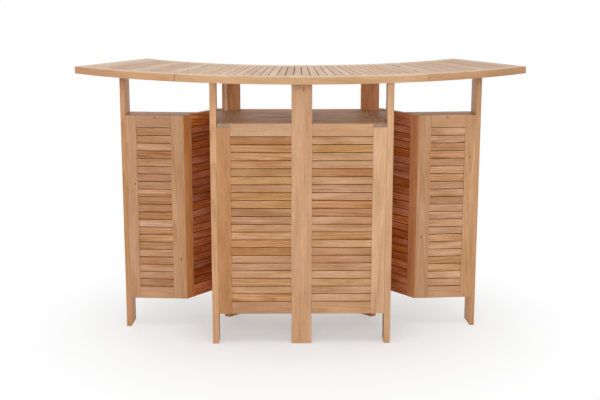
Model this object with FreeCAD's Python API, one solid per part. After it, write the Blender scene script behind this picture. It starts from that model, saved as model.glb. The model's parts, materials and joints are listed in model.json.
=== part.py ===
import FreeCAD, Part
import math
import os

# Folding garden bar of oiled hardwood. Millimetres, +Z up, origin on the floor under the
# middle of the top's box, front towards -Y. Right-hand pieces are drawn and mirrored in X.

# Table top: a ring sector in a fixed centre and two leaves that flip over onto it
table_height = 1070.0
top_thickness = 28.0
top_outer_radius = 1362.0
top_depth = 387.0
top_half_angle = 41.7
seam_angle = 20.9
seam_gap = 2.0
front_rim_width = 45.0
rear_rim_width = 40.0
end_rail_width = 45.0
top_slat_width = 25.0
top_slat_gap = 4.0
top_slat_thickness = 16.0
front_bearer_width = 84.0
rear_bearer_width = 60.0
fit_clearance = 0.2

# Front of the cabinet
front_overhang = 60.0
post_thickness = 25.0
post_depth = 78.0
front_width = 704.0
centre_post_width = 79.0
serving_gap = 158.0
panel_bottom = 123.5
front_rail_height = 49.0
stile_width = 53.0
panel_thickness = 22.0
panel_slat_count = 21
panel_slat_gap = 2.4
panel_slat_thickness = 16.5
panel_slat_recess = 3.0

# Rear posts stand turned, each with its broad face towards the middle of the front
rear_post_corner_x = 305.0
rear_post_set_in = 41.8
rear_post_turn = 42.0
rear_post_chamfer = 7.0

# Shelves
shelf_thickness = 14.0
shelf_board_gap = 4.5
shelf_reach_past_corner = 48.0
shelf_side_clearance = 1.5
shelf_ear_set_in = 15.0
shelf_board_count = 6

# Wings: an inner and an outer panel fixed at an angle, with a leg, hung behind the rear post
inner_panel_length = 205.0
inner_panel_turn = 50.0
inner_panel_thickness = 25.0
inner_panel_reach = 6.5
inner_panel_set_back = 14.4
outer_panel_length = 253.0
outer_panel_turn = 4.2
outer_panel_thickness = 20.0
inner_rear_stile_width = 50.0
inner_corner_stile_width = 44.0
outer_corner_stile_width = 53.0
outer_end_stile_width = 43.0
wing_leg_thickness = 19.0
wing_leg_depth = 102.0
wing_leg_clearance = 0.3
wing_ledge_depth = 96.0
wing_ledge_thickness = 18.0
hinge_block_width = 34.0
hinge_block_gap = 4.0

# Hinges
pin_radius = 2.0
pin_clearance = 0.05
barrel_radius = 4.0
barrel_sides = 12
barrel_clearance = 0.5
hinge_length = 60.0
hinge_knuckles = 3
knuckle_clearance = 0.2
plate_thickness = 2.0
plate_width = 22.0
mortise_clearance = 0.1
top_hinge_lift = 0.2
top_pin_radius = 1.25
top_barrel_radius = 2.5
top_hinge_set_in = 57.0
top_plate_height = 16.0
wing_hinge_set_in = 126.0
wing_hinge_lift = 1.5

# Derived places
top_underside = table_height - top_thickness
top_inner_radius = top_outer_radius - top_depth
panel_top = top_underside - serving_gap
arc_centre_y = (top_outer_radius + top_inner_radius * math.cos(math.radians(top_half_angle))) / 2
front_y = arc_centre_y - top_outer_radius + front_overhang
front_half = front_width / 2
post_inner_x = front_half - post_thickness
stile_inner_x = post_inner_x - stile_width
side_board_x = post_inner_x - shelf_side_clearance
slat_zone_inner = top_inner_radius + rear_rim_width
slat_zone_outer = top_outer_radius - front_rim_width
top_hinge_radii = (slat_zone_inner + top_hinge_set_in, slat_zone_outer - top_hinge_set_in)
wing_hinge_heights = (panel_bottom + wing_hinge_set_in, panel_top - wing_hinge_set_in)
bore_growth = 1.0 / math.cos(math.pi / barrel_sides)
bore_radius = (pin_radius + pin_clearance) * bore_growth
top_bore_radius = (top_pin_radius + pin_clearance) * bore_growth
panel_slat_bottom = panel_bottom + front_rail_height
panel_slat_top = panel_top - front_rail_height
panel_slat_pitch = (panel_slat_top - panel_slat_bottom) / panel_slat_count
mirror_plane = FreeCAD.Vector(1, 0, 0)


def vec(x, y, z=0.0):
    return FreeCAD.Vector(x, y, z)


def prism(points, z_low, z_high):
    """A straight board: a plan outline of corner points, raised from z_low to z_high."""
    corners = [vec(p[0], p[1], z_low) for p in points]
    face = Part.Face(Part.makePolygon(corners + corners[:1]))
    return face.extrude(vec(0, 0, z_high - z_low))


def box(x0, x1, y0, y1, z0, z1):
    return Part.makeBox(x1 - x0, y1 - y0, z1 - z0, vec(x0, y0, z0))


def mirrored(shape):
    return shape.mirror(vec(0, 0), mirror_plane)


def save(name, solids):
    Part.makeCompound(solids).exportStep("parts/" + name + ".step")


def save_pair(name, solids):
    """Write the right-hand piece and its mirror image on the left."""
    save(name + "_right", solids)
    save(name + "_left", [mirrored(s) for s in solids])


class Axes:
    """A plan frame: an origin, a direction along it and the normal to its left."""

    def __init__(self, origin, angle):
        self.origin = origin
        self.along = vec(math.cos(math.radians(angle)), math.sin(math.radians(angle)))
        self.across = vec(-self.along.y, self.along.x)

    def point(self, along, across):
        return self.origin + self.along * along + self.across * across

    def board(self, a0, a1, c0, c1, z0, z1):
        corners = [(a0, c0), (a1, c0), (a1, c1), (a0, c1)]
        return prism([self.point(a, c) for a, c in corners], z0, z1)

    def shape(self, corners, z0, z1):
        return prism([self.point(a, c) for a, c in corners], z0, z1)


# Table top
arc_centre = vec(0, arc_centre_y)


def radial(angle):
    """Axes at the arc's centre: along the radius, with across towards larger angles."""
    return Axes(arc_centre, angle - 90.0)


def ring(r_inner, r_outer, z0, z1):
    height = z1 - z0
    base = vec(0, arc_centre_y, z0)
    return Part.makeCylinder(r_outer, height, base).cut(Part.makeCylinder(r_inner, height, base))


def wedge(first, first_set_in, last, last_set_in, z0, z1):
    """The space between two radii, each drawn in by its set-in towards the other."""
    far = top_outer_radius * 1.3
    a = radial(first)
    b = radial(last)
    corners = [a.point(0, first_set_in), a.point(far, first_set_in)]
    corners += [b.point(far, -last_set_in), b.point(0, -last_set_in)]
    return prism(corners, z0, z1)


def top_section(first, first_gap, last, last_gap):
    """Rims, end rails, bearers and slats of one section of the top between two radii."""
    z0 = top_underside
    z1 = table_height
    whole = wedge(first, first_gap, last, last_gap, z0, z1)
    inside = wedge(first, first_gap + end_rail_width + fit_clearance,
                   last, last_gap + end_rail_width + fit_clearance, z0, z1)
    front = ring(slat_zone_outer, top_outer_radius, z0, z1).common(whole)
    rear = ring(top_inner_radius, slat_zone_inner, z0, z1).common(whole)
    middle = ring(slat_zone_inner + fit_clearance, slat_zone_outer - fit_clearance, z0, z1)
    rails = []
    for angle, low, high in ((first, first_gap, first_gap + end_rail_width),
                             (last, -last_gap - end_rail_width, -last_gap)):
        strip = radial(angle).board(top_inner_radius * 0.9, top_outer_radius, low, high, z0, z1)
        rails.append(strip.common(middle))
    slat_underside = table_height - top_slat_thickness
    bearers = []
    for r0, r1 in ((slat_zone_outer - front_bearer_width, slat_zone_outer - fit_clearance),
                   (slat_zone_inner + fit_clearance, slat_zone_inner + rear_bearer_width)):
        bearers.append(ring(r0, r1, z0, slat_underside).common(inside))
    middle_radius = (slat_zone_inner + slat_zone_outer) / 2
    start = first + math.degrees((first_gap + end_rail_width) / slat_zone_inner)
    end = last - math.degrees((last_gap + end_rail_width) / slat_zone_inner)
    pitch_wanted = math.degrees((top_slat_width + top_slat_gap) / middle_radius)
    count = round((end - start) / pitch_wanted)
    pitch = (end - start) / count
    slats = []
    for i in range(count):
        taper = wedge(start + i * pitch, top_slat_gap / 2, start + (i + 1) * pitch, top_slat_gap / 2,
                      slat_underside, z1)
        slats.append(taper.common(middle))
    return front, rear, rails, bearers, slats


# Hinges


def knuckle_spans():
    step = hinge_length / hinge_knuckles
    return [(i, i * step - hinge_length / 2, (i + 1) * step - hinge_length / 2)
            for i in range(hinge_knuckles)]


def rod(radius, base, axis, length):
    """A many-sided rod, as rolled hinge knuckles and their bores are drawn."""
    start = axis.cross(vec(0, 0, 1))
    if start.Length < 0.5:
        start = vec(1, 0)
    corners = []
    for i in range(barrel_sides + 1):
        turn = FreeCAD.Rotation(axis, 360.0 * i / barrel_sides)
        corners.append(base + turn.multVec(start * radius))
    return Part.Face(Part.makePolygon(corners)).extrude(axis * length)


def upright_barrel(centre, z_middle, fixed):
    """Knuckles of one hinge half on an upright axis, bored for the pin."""
    solids = []
    for i, low, high in knuckle_spans():
        if (i % 2 == 0) == fixed:
            base = vec(centre.x, centre.y, z_middle + low + knuckle_clearance / 2)
            solids.append(rod(barrel_radius, base, vec(0, 0, 1), high - low - knuckle_clearance))
    return solids


def upright_pin(centre, z_middle):
    base = vec(centre.x, centre.y, z_middle - hinge_length / 2)
    return Part.makeCylinder(pin_radius, hinge_length, base)


def upright_half(centre, z_middle, fixed, plate, link):
    """One hinge half: a plate, its knuckles and the links that carry them, as one solid.
    plate and link are functions of a low and a high z."""
    half = hinge_length / 2
    solid = plate(z_middle - half, z_middle + half)
    for i, low, high in knuckle_spans():
        if (i % 2 == 0) == fixed:
            cut_back = knuckle_clearance / 2
            solid = solid.fuse(link(z_middle + low + cut_back, z_middle + high - cut_back))
    for knuckle in upright_barrel(centre, z_middle, fixed):
        solid = solid.fuse(knuckle)
    bore_base = vec(centre.x, centre.y, z_middle - hinge_length)
    return solid.cut(rod(bore_radius, bore_base, vec(0, 0, 1), 2 * hinge_length)).removeSplitter()


def top_hinge(radius):
    """A butt hinge in the right seam: fixed half, leaf half, pin and the wood's recess. Its plates
    stand in the seam, let into the end rails, and only its knuckles show."""
    seam = radial(seam_angle)
    axis_z = table_height + top_hinge_lift
    room = top_barrel_radius + barrel_clearance
    plate_top = axis_z - room
    plate_bottom = plate_top - top_plate_height
    first = seam.point(radius - hinge_length / 2, 0)
    first.z = axis_z
    pin = Part.makeCylinder(top_pin_radius, hinge_length, first, seam.along)
    bore = rod(top_bore_radius, first, seam.along, hinge_length)
    half_gap = seam_gap / 2
    halves = []
    for fixed, side in ((True, -1), (False, 1)):
        edges = sorted((side * half_gap, side * (half_gap + plate_thickness)))
        solid = seam.board(radius - hinge_length / 2, radius + hinge_length / 2,
                           edges[0], edges[1], plate_bottom, plate_top)
        for i, start, end in knuckle_spans():
            if (i % 2 == 0) == fixed:
                a0 = radius + start + knuckle_clearance / 2
                a1 = radius + end - knuckle_clearance / 2
                solid = solid.fuse(seam.board(a0, a1, edges[0], edges[1], plate_bottom, axis_z))
                base = seam.point(a0, 0)
                base.z = axis_z
                solid = solid.fuse(rod(top_barrel_radius, base, seam.along, a1 - a0))
        halves.append(solid.cut(bore).removeSplitter())
    wide = half_gap + plate_thickness + mortise_clearance
    half = hinge_length / 2 + mortise_clearance
    recess = seam.board(radius - half, radius + half, -wide, wide,
                        plate_bottom - mortise_clearance, table_height)
    recess = recess.fuse(seam.board(radius - half, radius + half, -room, room,
                                    axis_z - room, table_height))
    return halves[0], halves[1], pin, recess


def build_top():
    half_gap = seam_gap / 2
    front, rear, rails, bearers, slats = top_section(-seam_angle, half_gap, seam_angle, half_gap)
    leaf = top_section(seam_angle, half_gap, top_half_angle, 0.0)
    fixed_halves = []
    leaf_halves = []
    for radius in top_hinge_radii:
        fixed_half, leaf_half, pin, recess = top_hinge(radius)
        fixed_halves += [fixed_half, pin]
        leaf_halves.append(leaf_half)
        rails = [rails[0].cut(mirrored(recess)), rails[1].cut(recess)]
        leaf[2][0] = leaf[2][0].cut(recess)
    save("top_centre_front_rim", [front])
    save("top_centre_rear_rim", [rear])
    save("top_centre_end_rails", rails)
    save("top_centre_bearers", bearers)
    save("top_centre_slats", slats)
    save_pair("leaf_front_rim", [leaf[0]])
    save_pair("leaf_rear_rim", [leaf[1]])
    save_pair("leaf_end_rails", leaf[2])
    save_pair("leaf_bearers", leaf[3])
    save_pair("leaf_slats", leaf[4])
    save_pair("leaf_hinge_fixed_halves", fixed_halves)
    save_pair("leaf_hinge_moving_halves", leaf_halves)


# Cabinet


def panel_slats(plan, along_from, along_to, face_recess):
    """Level slats of one panel, drawn in the plan frame of its face."""
    slats = []
    for i in range(panel_slat_count):
        low = panel_slat_bottom + i * panel_slat_pitch + panel_slat_gap / 2
        high = low + panel_slat_pitch - panel_slat_gap
        slats.append(plan.board(along_from + fit_clearance, along_to - fit_clearance, face_recess,
                                face_recess + panel_slat_thickness, low, high))
    return slats


def build_front():
    face = Axes(vec(0, front_y), 0.0)
    post = box(post_inner_x, front_half, front_y, front_y + post_depth, 0.0, top_underside)
    save_pair("front_post", [post])
    half = centre_post_width / 2
    save("front_centre_post",
         [box(-half, half, front_y, front_y + post_thickness, 0.0, top_underside)])
    stile_top = panel_top - shelf_thickness
    stile = face.board(stile_inner_x, post_inner_x, 0.0, panel_thickness, panel_bottom, stile_top)
    save_pair("front_panel_stile", [stile])
    rails = []
    for low in (panel_bottom, panel_slat_top):
        rails.append(face.board(half, stile_inner_x, 0.0, panel_thickness, low, low + front_rail_height))
    save_pair("front_panel_rails", rails)
    save_pair("front_panel_slats", panel_slats(face, half, stile_inner_x, panel_slat_recess))


# The right rear post's plan frame runs along its broad face from the front corner inwards
rear_post_radius = top_inner_radius + rear_post_set_in
rear_post_corner_y = arc_centre_y - math.sqrt(rear_post_radius ** 2 - rear_post_corner_x ** 2)
post_plan = Axes(vec(rear_post_corner_x, rear_post_corner_y), 180.0 - rear_post_turn)


def build_rear_posts():
    outline = [(rear_post_chamfer, 0.0), (post_depth, 0.0), (post_depth, -post_thickness),
               (0.0, -post_thickness), (0.0, -rear_post_chamfer)]
    save_pair("rear_post", [post_plan.shape(outline, 0.0, top_underside)])


def post_face_x(y):
    """Where the rear post's broad face stands at depth y."""
    slope = post_plan.along.x / post_plan.along.y
    return post_plan.origin.x + (y - post_plan.origin.y) * slope


def build_shelf(name, low, first_y):
    """A shelf of boards across the cabinet between two side boards that reach the rear posts and
    step out behind the front posts."""
    high = low + shelf_thickness
    corner_y = post_plan.origin.y - fit_clearance
    shelf_rear_y = post_plan.origin.y + shelf_reach_past_corner
    board_space = shelf_rear_y - front_y - post_thickness
    pitch = board_space / shelf_board_count
    face_slope = post_plan.along.y / post_plan.along.x
    rear_inner_y = corner_y + (stile_inner_x - post_plan.origin.x) * face_slope
    post_back_y = front_y + post_depth + fit_clearance
    outline = [(stile_inner_x, first_y), (side_board_x, first_y), (side_board_x, post_back_y),
               (front_half, post_back_y), (front_half, corner_y - shelf_ear_set_in),
               (post_plan.origin.x, corner_y), (stile_inner_x, rear_inner_y)]
    save_pair(name + "_side_board", [prism(outline, low, high)])
    boards = []
    for i in range(shelf_board_count):
        y0 = front_y + post_thickness + i * pitch + shelf_board_gap / 2
        y1 = y0 + pitch - shelf_board_gap
        reach = min(stile_inner_x, post_face_x(y1)) - fit_clearance
        boards.append(box(-reach, reach, y0, y1, low, high))
    save(name + "_boards", boards)


# Wings
inner_origin = post_plan.point(-inner_panel_reach, -post_thickness - inner_panel_set_back)
inner_plan = Axes(inner_origin, -inner_panel_turn)
wing_corner = inner_plan.point(inner_panel_length, 0.0)
outer_plan = Axes(wing_corner, outer_panel_turn)
swing_axis = inner_plan.point(-hinge_block_gap / 2, inner_panel_thickness + wing_hinge_lift)


def mitre_back_point():
    """Where the back of the outer panel meets the back of the inner one."""
    a = outer_plan.across
    b = inner_plan.across
    da = outer_panel_thickness
    db = inner_panel_thickness
    det = a.x * b.y - a.y * b.x
    return wing_corner + vec((da * b.y - db * a.y) / det, (a.x * db - b.x * da) / det)


def mitre_cut(plan):
    """Along positions, at the face and at the back, of the mitre plane in a panel's frame."""
    back = mitre_back_point() - plan.origin
    face = wing_corner - plan.origin
    return face.dot(plan.along), back.dot(plan.along)


def panel_frame(plan, thickness, start, end, start_width, end_width):
    """Stiles and rails of a wing panel: start and end give along positions at face and back."""
    stiles = []
    inner_start = start[0] + start_width
    inner_end = end[0] - end_width
    stiles.append(plan.shape([(start[0], 0.0), (inner_start, 0.0), (inner_start, thickness),
                              (start[1], thickness)], panel_bottom, panel_top))
    stiles.append(plan.shape([(inner_end, 0.0), (end[0], 0.0), (end[1], thickness),
                              (inner_end, thickness)], panel_bottom, panel_top))
    rails = []
    for low in (panel_bottom, panel_slat_top):
        rails.append(plan.board(inner_start, inner_end, 0.0, thickness, low, low + front_rail_height))
    slats = panel_slats(plan, inner_start, inner_end, panel_slat_recess)
    return stiles, rails, slats


def wing_ledge(back_along, panel_end):
    """The level board behind the outer panel's top, cut to the back of the inner panel."""
    turned = inner_plan.along
    lean = turned.dot(outer_plan.along) / turned.dot(outer_plan.across)
    corner_along = back_along + (wing_ledge_depth - outer_panel_thickness) * lean
    outline = [(back_along + fit_clearance, outer_panel_thickness), (panel_end, outer_panel_thickness),
               (panel_end, wing_ledge_depth), (corner_along + fit_clearance, wing_ledge_depth)]
    return outer_plan.shape(outline, panel_top - wing_ledge_thickness, panel_top)


def build_wings():
    inner = panel_frame(inner_plan, inner_panel_thickness, (0.0, 0.0), mitre_cut(inner_plan),
                        inner_rear_stile_width, inner_corner_stile_width)
    start = mitre_cut(outer_plan)
    panel_end = outer_panel_length - wing_leg_thickness
    outer = panel_frame(outer_plan, outer_panel_thickness, start, (panel_end, panel_end),
                        outer_corner_stile_width, outer_end_stile_width)
    leg = outer_plan.board(panel_end, outer_panel_length, 0.0, wing_leg_depth, 0.0,
                           top_underside - wing_leg_clearance)
    far_end = -hinge_block_gap - hinge_block_width
    block = prism([post_plan.point(0.0, -post_thickness),
                   post_plan.point(hinge_block_width, -post_thickness),
                   inner_plan.point(far_end, inner_panel_thickness),
                   inner_plan.point(-hinge_block_gap, inner_panel_thickness)], panel_bottom, panel_top)
    near = barrel_radius + barrel_clearance
    block_side = Axes(swing_axis, 180.0 - inner_panel_turn)
    panel_side = Axes(swing_axis, -inner_panel_turn)
    surface = wing_hinge_lift
    bed = wing_hinge_lift + plate_thickness

    def block_plate(z0, z1):
        return block_side.board(near, near + plate_width, surface, bed, z0, z1)

    def block_link(z0, z1):
        return block_side.board(0.0, near + plate_thickness, surface, bed, z0, z1)

    def panel_plate(z0, z1):
        return panel_side.board(near, near + plate_width, -bed, -surface, z0, z1)

    def panel_link(z0, z1):
        return panel_side.board(0.0, near + plate_thickness, -bed, -surface, z0, z1)

    fixed_halves = []
    moving_halves = []
    for z in wing_hinge_heights:
        fixed_halves += [upright_half(swing_axis, z, True, block_plate, block_link),
                         upright_pin(swing_axis, z)]
        moving_halves.append(upright_half(swing_axis, z, False, panel_plate, panel_link))
        z0 = z - hinge_length / 2 - mortise_clearance
        z1 = z + hinge_length / 2 + mortise_clearance
        barrel = Part.makeCylinder(near, z1 - z0, vec(swing_axis.x, swing_axis.y, z0))
        far = near + plate_width + mortise_clearance
        deep = bed + mortise_clearance
        block = block.cut(block_side.board(0.0, far, 0.0, deep, z0, z1).fuse(barrel))
        inner[0][0] = inner[0][0].cut(panel_side.board(0.0, far, -deep, 0.0, z0, z1).fuse(barrel))
    save_pair("wing_inner_stiles", inner[0])
    save_pair("wing_inner_rails", inner[1])
    save_pair("wing_inner_slats", inner[2])
    save_pair("wing_outer_stiles", outer[0])
    save_pair("wing_outer_rails", outer[1])
    save_pair("wing_outer_slats", outer[2])
    save_pair("wing_ledge", [wing_ledge(start[1], panel_end)])
    save_pair("wing_leg", [leg])
    save_pair("wing_hanging_block", [block])
    save_pair("wing_hinge_fixed_halves", fixed_halves)
    save_pair("wing_hinge_moving_halves", moving_halves)


build_top()
build_front()
build_rear_posts()
build_shelf("upper_shelf", panel_top - shelf_thickness, front_y)
build_shelf("lower_shelf", panel_bottom, front_y + panel_thickness)
build_wings()
for label, point in (("swing axis", swing_axis), ("wing corner", wing_corner),
                     ("seam axis direction", radial(seam_angle).along), ("arc centre", arc_centre)):
    print(label, round(point.x, 4), round(point.y, 4), round(point.z, 4))
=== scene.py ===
import json
import math
import random

import bmesh
import bpy
import numpy as np
from mathutils import Matrix, Vector


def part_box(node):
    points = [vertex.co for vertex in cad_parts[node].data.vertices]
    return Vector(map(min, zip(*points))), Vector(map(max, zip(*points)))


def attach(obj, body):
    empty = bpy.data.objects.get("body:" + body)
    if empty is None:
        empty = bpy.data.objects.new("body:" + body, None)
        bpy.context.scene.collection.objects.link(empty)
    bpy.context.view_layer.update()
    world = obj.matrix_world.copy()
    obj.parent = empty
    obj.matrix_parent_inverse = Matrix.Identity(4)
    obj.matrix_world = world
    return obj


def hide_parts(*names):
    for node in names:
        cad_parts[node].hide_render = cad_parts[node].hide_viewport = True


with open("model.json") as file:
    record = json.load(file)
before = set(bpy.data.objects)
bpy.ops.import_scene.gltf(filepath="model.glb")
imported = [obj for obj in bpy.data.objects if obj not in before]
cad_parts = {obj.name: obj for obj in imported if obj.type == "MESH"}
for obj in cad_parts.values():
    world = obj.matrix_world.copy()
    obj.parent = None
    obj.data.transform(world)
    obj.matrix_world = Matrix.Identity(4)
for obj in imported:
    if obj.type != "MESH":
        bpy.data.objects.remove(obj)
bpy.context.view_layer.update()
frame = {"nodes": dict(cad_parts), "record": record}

bl_info = {
    "name": "Folding Garden Bar",
    "version": (1, 0, 0),
    "blender": (4, 5, 0),
    "location": "3D View > Sidebar > Garden Bar",
    "description": "Dresses a folding slatted garden bar in oiled hardwood and brass",
    "category": "Object",
}

# Names of the boards' own attributes, which the wood grain follows
BOARD_POSITION = "board_pos"
BOARD_SHADE = "board_shade"
BOARD_END = "board_end"
BOARD_KNOT = "board_knot"
# Painted shade, or below zero painted light, on the narrow faces between slats
PAINTED_GAP_SHADE = "painted_gap_shade"
SLAT_NUMBER = "slat_number"
SEAT_FACING = "seat_facing"

# Directions from the object, whose front looks along -Y
FORWARD = Vector((0.0, -1.0, 0.0))
BACKWARD = Vector((0.0, 1.0, 0.0))
LEFTWARD = Vector((-1.0, 0.0, 0.0))
RIGHTWARD = Vector((1.0, 0.0, 0.0))
UPWARD = Vector((0.0, 0.0, 1.0))

SIDES = ("left", "right")
PANEL_SLATS = [stem + side for side in SIDES
               for stem in ("front_panel_slats_", "wing_inner_slats_", "wing_outer_slats_")]
TOP_SLATS = ["top_centre_slats", "leaf_slats_left", "leaf_slats_right"]
CURVED_BOARDS = ("rim", "bearers")
NODE_BODY = {node: body for body, nodes in frame["record"]["behaviour"]["bodies"].items()
             for node in nodes}
HINGES = [node for node in NODE_BODY if "hinge" in node]
FRAME_BOARDS = [node for node in NODE_BODY if node not in PANEL_SLATS + TOP_SLATS + HINGES]


def arc_centre_y():
    """The top's arc is centred where the two seams' hinge lines cross on the middle plane."""
    joints = frame["record"]["behaviour"]["joints"]
    seam = next(joint for joint in joints if joint["name"] == "leaf_flip_right")
    run = seam["pos_m"][0] / seam["axis"][0]
    return seam["pos_m"][1] - run * seam["axis"][1]


ARC_CENTRE_Y = arc_centre_y()


class GardenBarSizes(bpy.types.PropertyGroup):
    """Sizes of the details that the dressing adds."""

    board_edge: bpy.props.FloatProperty(
        name="Board edge", description="Width of the eased edge on a frame board",
        default=0.0016, unit="LENGTH")
    top_slat_edge: bpy.props.FloatProperty(
        name="Top slat edge", description="Radius of the rounded edge on a slat of the top",
        default=0.001, unit="LENGTH")
    panel_slat_edge: bpy.props.FloatProperty(
        name="Panel slat edge", description="Radius of the rounded edge on a slat of a panel",
        default=0.0009, unit="LENGTH")
    panel_slat_count: bpy.props.IntProperty(
        name="Panel slats", description="Slats in each upright panel", default=21)
    panel_slat_gap: bpy.props.FloatProperty(
        name="Panel slat gap", description="Gap between the slats of a panel",
        default=0.0024, unit="LENGTH")
    top_slat_gap: bpy.props.FloatProperty(
        name="Top slat gap", description="Gap between the slats of the top",
        default=0.004, unit="LENGTH")
    top_slat_width: bpy.props.FloatProperty(
        name="Top slat width", description="Width of a top slat at its middle",
        default=0.025, unit="LENGTH")
    plug_radius: bpy.props.FloatProperty(
        name="Plug radius", description="Radius of the plugs over the ledge screws",
        default=0.0045, unit="LENGTH")
    screw_radius: bpy.props.FloatProperty(
        name="Screw head radius", description="Radius of the screw heads on the wing hinges",
        default=0.0036, unit="LENGTH")
    head_rise: bpy.props.FloatProperty(
        name="Head rise", description="How far a screw head or plug stands out of its seat",
        default=0.0004, unit="LENGTH")


class GardenBarColours(bpy.types.PropertyGroup):
    """Colours of the wood and the metal."""

    wood_deep: bpy.props.FloatVectorProperty(
        name="Deep wood", description="Reddest and darkest boards", subtype="COLOR",
        default=(0.35, 0.138, 0.050))
    wood_brown: bpy.props.FloatVectorProperty(
        name="Brown wood", description="Brown boards", subtype="COLOR",
        default=(0.46, 0.215, 0.092))
    wood_tan: bpy.props.FloatVectorProperty(
        name="Tan wood", description="Middle boards", subtype="COLOR",
        default=(0.55, 0.290, 0.138))
    wood_pale: bpy.props.FloatVectorProperty(
        name="Pale wood", description="Palest boards", subtype="COLOR",
        default=(0.65, 0.395, 0.218))
    brass: bpy.props.FloatVectorProperty(
        name="Brass", description="Colour of the hinges", subtype="COLOR",
        default=(0.67, 0.52, 0.33))


def sizes():
    return bpy.context.scene.garden_bar_sizes


def colours():
    return bpy.context.scene.garden_bar_colours


# Node trees


def add_node(tree, kind, values=None, **settings):
    """Add a node, set its own settings, then fill or link its inputs."""
    node = tree.nodes.new(kind)
    for key, value in settings.items():
        setattr(node, key, value)
    for key, value in (values or {}).items():
        if isinstance(value, bpy.types.NodeSocket):
            tree.links.new(value, node.inputs[key])
        else:
            node.inputs[key].default_value = value
    return node


def maths(tree, operation, first, second=0.0):
    return add_node(tree, "ShaderNodeMath", {0: first, 1: second}, operation=operation).outputs[0]


def times(tree, first, second):
    return maths(tree, "MULTIPLY", first, second)


def plus(tree, first, second):
    return maths(tree, "ADD", first, second)


def minus(tree, first, second):
    return maths(tree, "SUBTRACT", first, second)


def vector(tree, **parts):
    """A vector from its X, Y and Z, which are zero where they aren't given."""
    return add_node(tree, "ShaderNodeCombineXYZ", parts).outputs[0]


def parts_of(tree, place):
    return add_node(tree, "ShaderNodeSeparateXYZ", {"Vector": place}).outputs


def vector_maths(tree, operation, first, second):
    return add_node(tree, "ShaderNodeVectorMath", {0: first, 1: second}, operation=operation).outputs[0]


def length_of(tree, place):
    return add_node(tree, "ShaderNodeVectorMath", {0: place}, operation="LENGTH").outputs["Value"]


def spread(tree, value, low, high):
    """A value between 0 and 1 mapped onto a range."""
    return add_node(tree, "ShaderNodeMapRange", {
        "Value": value, "To Min": low, "To Max": high}).outputs[0]


def soft_step(tree, value, low, high, at_low, at_high):
    """One level below a value, another above it and a smooth step between."""
    return add_node(tree, "ShaderNodeMapRange", {
        "Value": value, "From Min": low, "From Max": high, "To Min": at_low, "To Max": at_high},
        interpolation_type="SMOOTHSTEP").outputs[0]


def weighted_sum(tree, terms):
    total = times(tree, *terms[0])
    for value, weight in terms[1:]:
        total = plus(tree, total, times(tree, value, weight))
    return total


def shader_tree(name):
    material = bpy.data.materials.new(name)
    material.use_nodes = True
    tree = material.node_tree
    tree.nodes.clear()
    return material, tree


def close_shader(tree, shader):
    output = add_node(tree, "ShaderNodeOutputMaterial")
    tree.links.new(shader.outputs[0], output.inputs["Surface"])


# Wood and brass

# Figure of the wood: scales per metre along, across and through a board, and how far the rings wander
RING_STRETCH = (0.07, 1.0, 1.0)
RING_SCALE = 58.0
RING_WOBBLE = 3.2
CLOUD_SCALE = (4.5, 24.0, 24.0)
STREAK_SCALE = (7.0, 260.0, 260.0)
PORE_SCALE = (45.0, 1100.0, 1100.0)
KNOT_SCALE = (4.0, 14.0, 14.0)
SPECKLE_SCALE = (350.0, 350.0, 350.0)
NOISE_ROUGHNESS = 0.62
# Smooth steps: where a step in a pattern starts and ends, and the level at each
LATE_WOOD_STEP = (0.35, 0.95, 0.0, 1.0)
PORE_STEP = (0.08, 0.22, 0.0, 1.0)
SMALL_KNOT_STEP = (0.012, 0.05, 0.55, 1.0)
OWN_KNOT_STEP = (0.4, 1.4, 0.45, 1.0)
# A board's own knot is drawn out along the grain, and a board without one has a tiny radius
KNOT_SHAPE = (0.4, 1.0, 0.0)
NO_KNOT = 1e-6
# Where a board lies in the log: how far along, and how its heart is set aside, sunk and tilted
LOG_LENGTH = 31.0
HEART_ASIDE = (-0.05, 0.05)
HEART_DEPTH = (0.012, 0.06)
LEAN_ASIDE = (-0.04, 0.04)
LEAN_THROUGH = (-0.07, 0.07)
# Factors that draw two more values for a board from its shade
OWN_DRAWS = (37.7, 91.3)
# Places of the brown and the tan wood between the deepest and the palest
BROWN_AT = 0.3
TAN_AT = 0.62
# How boards differ in hue and warmth, and how much warmth the figure takes from its pale parts
HUES = (0.4975, 0.5025)
WARMTHS = (1.07, 0.93)
FIGURE_GREYNESS = 0.45
# End grain and the painted shade on the narrow faces between slats: how deep their shade is and how their
# warmth changes
END_STRENGTH = 0.72
END_GREYNESS = 0.2
PAINTED_GAP_DEPTH = 0.4
PAINTED_GAP_WARMTH = 0.35
# What the streaks add to the roughness, and the relief of streaks and pores, in metres
DULL_STREAK = 0.1
GLOSSY_STREAK = -0.02
RELIEF = 0.0004
RELIEF_STRENGTH = 0.3
PORE_DEPTH = 0.4
# Tarnished and bright brass: places in the pattern, shares of the colour and roughness
BRASS_PLACES = (0.35, 0.62)
BRASS_SHARES = (0.62, 1.05)
BRASS_ROUGHNESS = (0.62, 0.5)


def attribute(tree, name, output="Fac"):
    return add_node(tree, "ShaderNodeAttribute", attribute_name=name).outputs[output]


def stretched(tree, place, scale):
    return vector_maths(tree, "MULTIPLY", place, scale)


def noise(tree, place, scale, detail):
    """Noise about zero, with its own scale in each direction of a board."""
    value = add_node(tree, "ShaderNodeTexNoise", {
        "Vector": stretched(tree, place, scale), "Scale": 1.0, "Detail": detail,
        "Roughness": NOISE_ROUGHNESS}).outputs["Fac"]
    return minus(tree, value, 0.5)


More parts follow.
